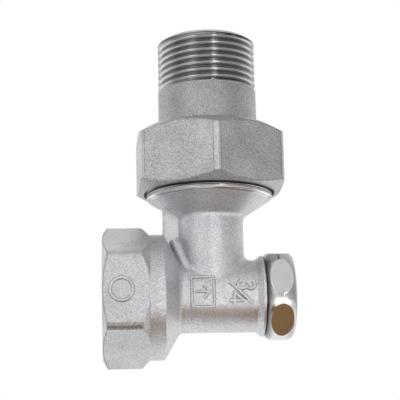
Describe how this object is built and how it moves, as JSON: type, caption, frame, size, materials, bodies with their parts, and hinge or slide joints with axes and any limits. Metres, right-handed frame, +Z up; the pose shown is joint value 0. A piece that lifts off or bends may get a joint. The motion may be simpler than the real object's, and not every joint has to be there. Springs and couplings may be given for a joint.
{
  "type": "angle lockshield radiator valve",
  "caption": "Angle lockshield valve with hexagon female inlet, cross tube, hexagon union nut, threaded radiator tail and a barrel-shaped screw cap over its regulating spindle.",
  "frame": {"origin": "on the inlet axis, where the full wall of the inlet thread begins just inside the mouth", "axes": "+X along the inlet axis from the mouth to the cap, +Z up along the union tail"},
  "size_m": [0.0496, 0.0428, 0.0878],
  "materials": {
    "satin_nickel": "blasted nickel plate on brass",
    "bright_nickel": "nickel plate on turned brass",
    "polished_chrome": "polished chrome plate on brass",
    "turned_brass": "turned brass",
    "spring_steel": "plain",
    "black_rubber": "matt",
    "fibre": "matt"
  },
  "bodies": {
    "valve": {"valve_body": "satin_nickel", "bonnet": "turned_brass", "bonnet_o_ring": "black_rubber", "stop_ring": "spring_steel"},
    "closing_disc": {"disc_holder": "turned_brass", "seat_washer": "black_rubber", "washer_screw": "turned_brass"},
    "spindle": {"spindle": "turned_brass", "spindle_o_ring_inner": "black_rubber", "spindle_o_ring_outer": "black_rubber"},
    "cap_seal": {"cap_gasket": "fibre"},
    "cap": {"lockshield_cap": "polished_chrome"},
    "tail": {"tailpiece": "bright_nickel", "tail_o_ring": "black_rubber"},
    "nut": {"union_nut": "satin_nickel"}
  },
  "joints": [
    {"name": "disc_lift", "type": "slide", "parent": "valve", "child": "closing_disc", "axis": [-1, 0, 0], "range_m": [0, 0.0045]},
    {"name": "spindle_turn", "type": "hinge", "parent": "closing_disc", "child": "spindle", "pos_m": [0.0272, 0, 0], "axis": [-1, 0, 0], "range_deg": [0, 1620]},
    {"name": "cap_lift", "type": "slide", "parent": "valve", "child": "cap_seal", "axis": [1, 0, 0], "range_m": [0, 0.005]},
    {"name": "cap_turn", "type": "hinge", "parent": "cap_seal", "child": "cap", "pos_m": [0.0272, 0, 0], "axis": [1, 0, 0], "range_deg": [0, 1800]},
    {"name": "union_lift", "type": "slide", "parent": "valve", "child": "tail", "axis": [0, 0, 1], "range_m": [0, 0.00898]},
    {"name": "nut_turn", "type": "hinge", "parent": "tail", "child": "nut", "pos_m": [0.0272, 0, 0], "axis": [0, 0, 1], "range_deg": [0, 1400]}
  ],
  "couplings": [
    {"joint": "disc_lift", "follows": "spindle_turn", "m_per_rad": 0.00015915},
    {"joint": "cap_lift", "follows": "cap_turn", "m_per_rad": 0.00015915},
    {"joint": "union_lift", "follows": "nut_turn", "m_per_rad": 0.00036749}
  ]
}
